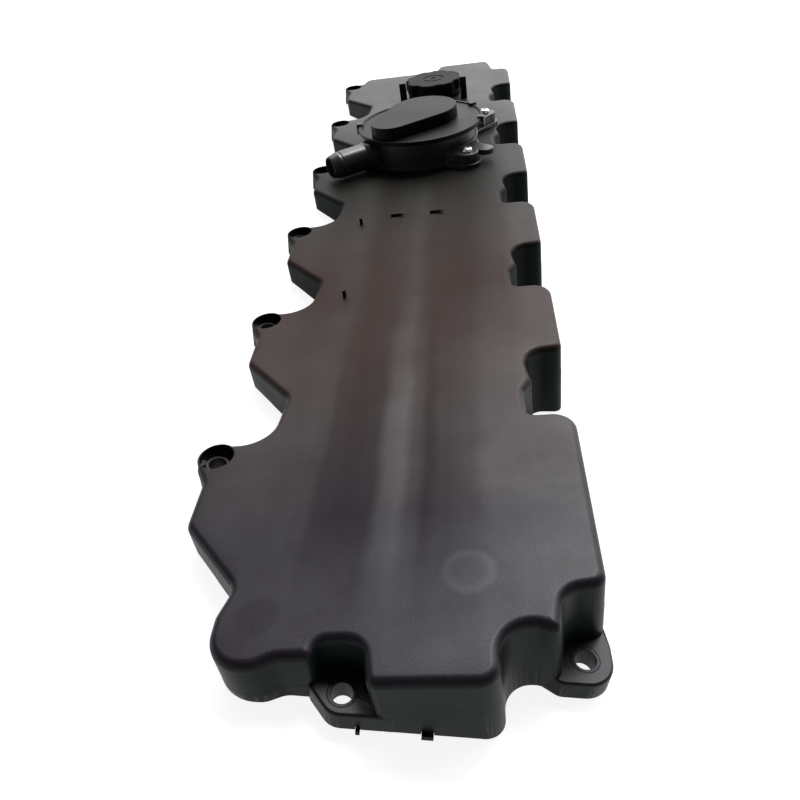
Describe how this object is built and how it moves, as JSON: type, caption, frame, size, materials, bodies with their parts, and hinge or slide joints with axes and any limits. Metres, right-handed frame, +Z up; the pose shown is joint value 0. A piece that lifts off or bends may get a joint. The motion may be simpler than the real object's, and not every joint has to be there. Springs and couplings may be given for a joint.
{
  "type": "engine cylinder head cover",
  "caption": "Long moulded cover for an in-line engine's cylinder head, with a crankcase ventilation valve, a hose spigot and an oil filler cap.",
  "frame": {"origin": "centre of the cover's footprint, on the plane the gasket rests on", "axes": "+Y along the engine, towards the oil filler; +X across it, towards the high side; +Z up"},
  "size_m": [0.1994, 0.831, 0.0763],
  "materials": {
    "nylon": "fine moulded grain",
    "rubber": "matt",
    "steel": "zinc plated",
    "screw": "bright plated",
    "nylon_inner": "natural moulded",
    "brass": "knurled insert",
    "housing": "satin moulded",
    "lid": "fine moulded grain",
    "membrane": "fabric-reinforced rubber",
    "plate": "natural moulded",
    "clip": "moulded",
    "cap": "fine moulded grain"
  },
  "bodies": {
    "cover": {"cover_shell": "nylon", "perimeter_gasket": "rubber", "left_sleeve_1": "steel", "left_sleeve_2": "steel", "left_sleeve_3": "steel", "left_sleeve_4": "steel", "left_sleeve_5": "steel", "left_sleeve_6": "steel", "right_sleeve_1": "steel", "right_sleeve_2": "steel", "right_sleeve_3": "steel", "right_sleeve_4": "steel", "right_sleeve_5": "steel", "end_sleeve_1": "steel", "end_sleeve_2": "steel", "end_sleeve_3": "steel", "baffle_plate": "nylon_inner", "drain_valve": "rubber", "baffle_screw_1": "screw", "baffle_screw_2": "screw", "baffle_screw_3": "screw", "baffle_screw_4": "screw", "pcv_housing": "housing", "pcv_seal": "rubber", "valve_insert_1": "brass", "valve_insert_2": "brass", "valve_insert_3": "brass", "pcv_screw_1": "screw", "pcv_screw_2": "screw", "pcv_screw_3": "screw", "diaphragm": "membrane", "pcv_spring": "steel", "pcv_lid": "lid", "vent_cover": "lid", "lid_clip_1": "clip", "lid_clip_2": "clip", "lid_clip_3": "clip", "lid_clip_4": "clip", "filler_collar": "cap"},
    "valve_plate": {"diaphragm_plate": "plate"},
    "cap_ring": {"cap_seal": "rubber"},
    "filler_cap": {"cap_knob": "cap", "cap_plug": "cap"}
  },
  "joints": [
    {"name": "diaphragm_stroke", "type": "slide", "parent": "cover", "child": "valve_plate", "axis": [-0.165, 0, 0.9863], "range_m": [-0.0033, 0], "stiffness_N_per_m": 300, "springref_m": 0.004, "deforming": ["pcv_spring", "diaphragm"]},
    {"name": "cap_lift", "type": "slide", "parent": "cover", "child": "cap_ring", "axis": [-0.165, 0, 0.9863], "range_m": [0, 0.04]},
    {"name": "cap_turn", "type": "hinge", "parent": "cap_ring", "child": "filler_cap", "pos_m": [0.00682, 0.2995, 0.0417], "axis": [-0.165, 0, 0.9863], "range_deg": [-90, 0]}
  ]
}
